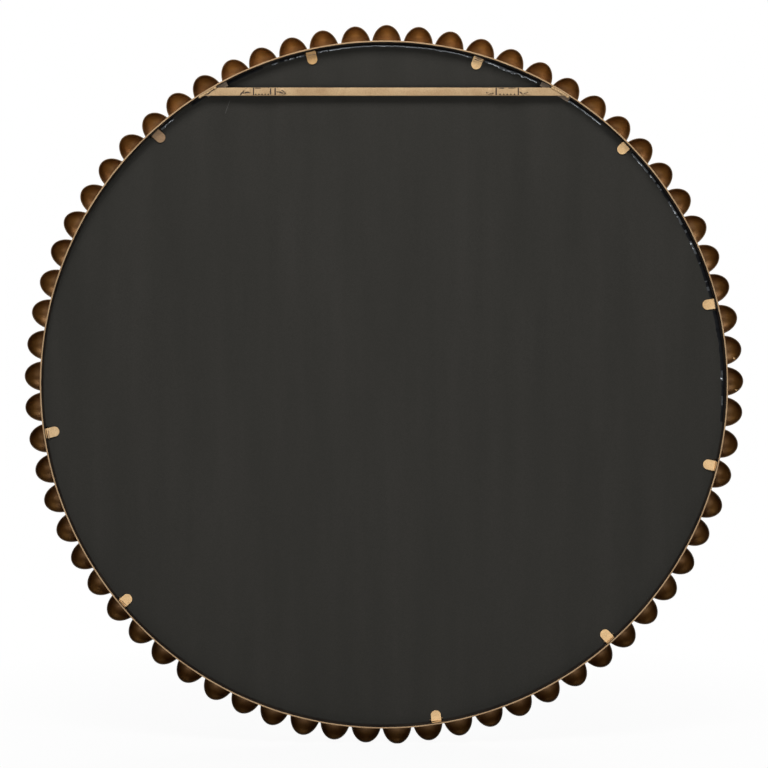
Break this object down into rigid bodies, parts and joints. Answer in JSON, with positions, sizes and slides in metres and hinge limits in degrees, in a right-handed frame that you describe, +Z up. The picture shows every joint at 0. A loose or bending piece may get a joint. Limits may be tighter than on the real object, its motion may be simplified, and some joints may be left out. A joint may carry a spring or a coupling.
{
  "type": "round wall mirror",
  "caption": "Round wall mirror in a gold metal hoop edged with hollow half-dome petals, with a hanging bar, sawtooth hangers and fold-over tabs on the back.",
  "frame": {"origin": "centre of the disc, halfway through the depth of the hoop", "axes": "+Z is up as the mirror hangs, +Y points to the wall and the pane reflects towards -Y"},
  "size_m": [0.9141, 0.02, 0.9141],
  "materials": {
    "antique_gold": "satin gold paint with a warm brown tone, brushed on and a little uneven",
    "dull_steel": "dull grey-brown lacquered steel",
    "silvered_glass": "clear float glass, silvered behind",
    "charcoal_board": "matte charcoal paint on fibreboard, faintly streaked",
    "black_sealant": "glossy black sealant"
  },
  "bodies": {
    "frame": {"rim_band": "antique_gold", "petals": "antique_gold", "hanging_bar": "antique_gold", "bar_seats": "dull_steel", "sawtooth_hanger_left": "antique_gold", "sawtooth_hanger_right": "antique_gold", "hanger_rivets": "antique_gold", "tab_roots": "antique_gold", "mirror_glass": "silvered_glass", "backing_board": "charcoal_board", "sealant_bead": "black_sealant"},
    "tab_01": {"retaining_tab_01": "antique_gold"},
    "tab_02": {"retaining_tab_02": "antique_gold"},
    "tab_03": {"retaining_tab_03": "antique_gold"},
    "tab_04": {"retaining_tab_04": "antique_gold"},
    "tab_05": {"retaining_tab_05": "antique_gold"},
    "tab_06": {"retaining_tab_06": "antique_gold"},
    "tab_07": {"retaining_tab_07": "antique_gold"},
    "tab_08": {"retaining_tab_08": "antique_gold"},
    "tab_09": {"retaining_tab_09": "antique_gold"},
    "tab_10": {"retaining_tab_10": "antique_gold"}
  },
  "joints": [
    {"name": "tab_01_fold", "type": "hinge", "parent": "frame", "child": "tab_01", "pos_m": [-0.42106, 0.0006, 0.10498], "axis": [0.1564, 0, 0.9877], "range_deg": [0, 90]},
    {"name": "tab_02_fold", "type": "hinge", "parent": "frame", "child": "tab_02", "pos_m": [-0.30819, 0.0006, 0.30605], "axis": [0.6858, 0, 0.7278], "range_deg": [0, 90]},
    {"name": "tab_03_fold", "type": "hinge", "parent": "frame", "child": "tab_03", "pos_m": [-0.12032, 0.0006, 0.41687], "axis": [0.9298, 0, 0.3681], "range_deg": [0, 90]},
    {"name": "tab_04_fold", "type": "hinge", "parent": "frame", "child": "tab_04", "pos_m": [0.09329, 0.0006, 0.42431], "axis": [0.9748, 0, -0.2233], "range_deg": [0, 90]},
    {"name": "tab_05_fold", "type": "hinge", "parent": "frame", "child": "tab_05", "pos_m": [0.29089, 0.0006, 0.32194], "axis": [0.6743, 0, -0.7385], "range_deg": [0, 90]},
    {"name": "tab_06_fold", "type": "hinge", "parent": "frame", "child": "tab_06", "pos_m": [0.42967, 0.0006, -0.06039], "axis": [-0.2334, 0, -0.9724], "range_deg": [0, 90]},
    {"name": "tab_07_fold", "type": "hinge", "parent": "frame", "child": "tab_07", "pos_m": [0.33426, 0.0006, -0.27751], "axis": [-0.6455, 0, -0.7638], "range_deg": [0, 90]},
    {"name": "tab_08_fold", "type": "hinge", "parent": "frame", "child": "tab_08", "pos_m": [-0.06717, 0.0006, -0.42894], "axis": [-0.9947, 0, 0.1028], "range_deg": [0, 90]},
    {"name": "tab_09_fold", "type": "hinge", "parent": "frame", "child": "tab_09", "pos_m": [-0.28893, 0.0006, -0.32429], "axis": [-0.729, 0, 0.6845], "range_deg": [0, 90]},
    {"name": "tab_10_fold", "type": "hinge", "parent": "frame", "child": "tab_10", "pos_m": [-0.42221, 0.0006, -0.10214], "axis": [-0.2181, 0, 0.9759], "range_deg": [0, 90]}
  ]
}
